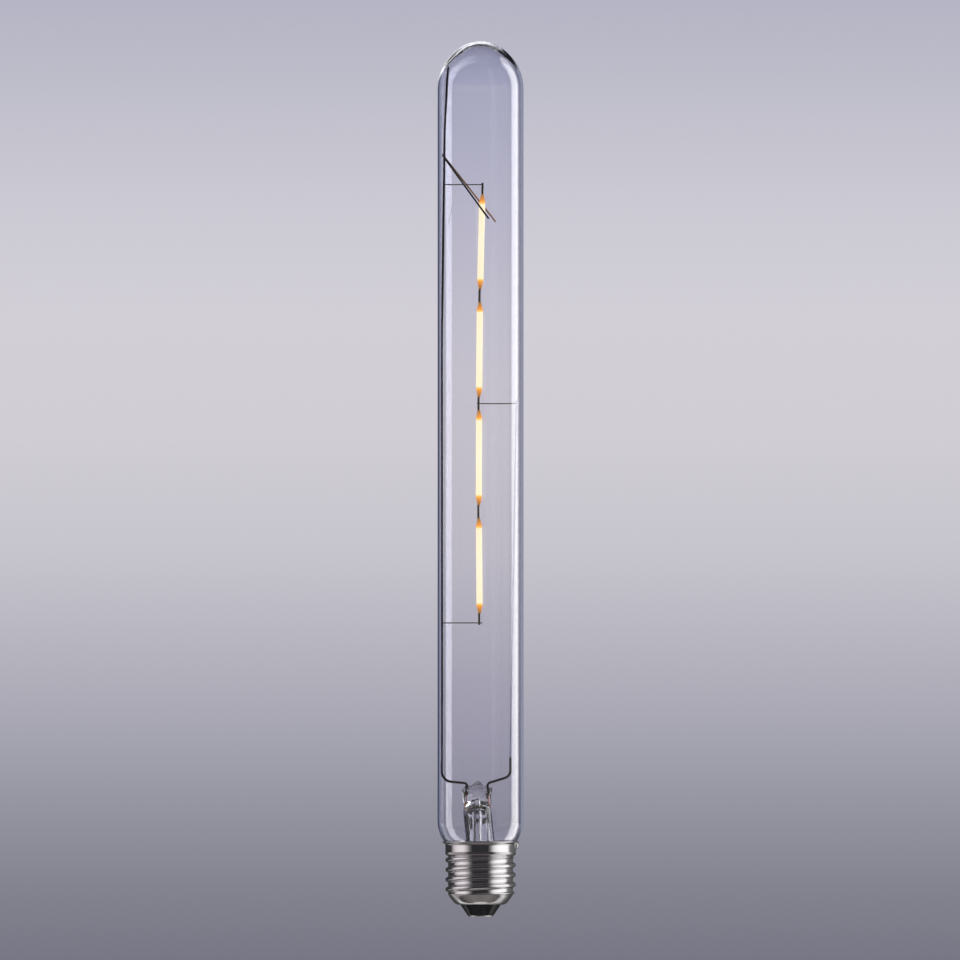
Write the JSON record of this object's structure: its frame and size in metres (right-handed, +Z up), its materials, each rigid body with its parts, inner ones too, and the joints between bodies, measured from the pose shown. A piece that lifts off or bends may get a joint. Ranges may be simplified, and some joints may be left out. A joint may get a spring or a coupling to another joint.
{
  "type": "tubular light bulb",
  "caption": "Long clear tubular bulb with a screw cap, a leaning glass stem and a string of LED filaments on a wire frame.",
  "frame": {"origin": "middle of the centre contact's lower face", "axes": "+Z up the bulb's axis from the cap to the dome, +X across the wire frame, with the short support wire on +X"},
  "size_m": [0.032, 0.032, 0.326],
  "materials": {
    "clear_glass": "clear",
    "nickel_shell": "bright nickel",
    "black_insulator": "gloss black glass",
    "contact_plate": "satin",
    "solder": "satin",
    "cement": "matte",
    "dark_wire": "dark",
    "seal_metal": "oxidised red",
    "tinned_wire": "tinned",
    "copper_wire": "bright",
    "filament_coat": "glowing phosphor",
    "tab_metal": "satin",
    "board": "matte",
    "black_plastic": "matte"
  },
  "bodies": {
    "root": {"glass_envelope": "clear_glass", "stem_flare": "clear_glass", "exhaust_tube": "clear_glass", "screw_shell": "nickel_shell", "cap_insulator": "black_insulator", "centre_contact": "contact_plate", "contact_solder": "solder", "side_solder": "solder", "cap_cement": "cement", "left_lead": "dark_wire", "right_lead": "dark_wire", "left_seal_wire": "seal_metal", "right_seal_wire": "seal_metal", "left_feed_wire": "tinned_wire", "right_feed_wire": "tinned_wire", "left_support_wire": "dark_wire", "right_support_wire": "dark_wire", "centring_spring": "dark_wire", "top_cross_wire": "dark_wire", "middle_cross_wire": "dark_wire", "bottom_cross_wire": "dark_wire", "led_filament_1": "filament_coat", "led_filament_2": "filament_coat", "led_filament_3": "filament_coat", "led_filament_4": "filament_coat", "filament_1_top_tab": "tab_metal", "filament_1_bottom_tab": "tab_metal", "filament_2_top_tab": "tab_metal", "filament_2_bottom_tab": "tab_metal", "filament_3_top_tab": "tab_metal", "filament_3_bottom_tab": "tab_metal", "filament_4_top_tab": "tab_metal", "filament_4_bottom_tab": "tab_metal", "driver_board": "board", "bridge_rectifier": "black_plastic", "driver_chip": "black_plastic", "smoothing_capacitor": "black_plastic", "fuse_resistor": "black_plastic", "centre_wire": "copper_wire", "side_wire": "copper_wire"}
  },
  "joints": []
}
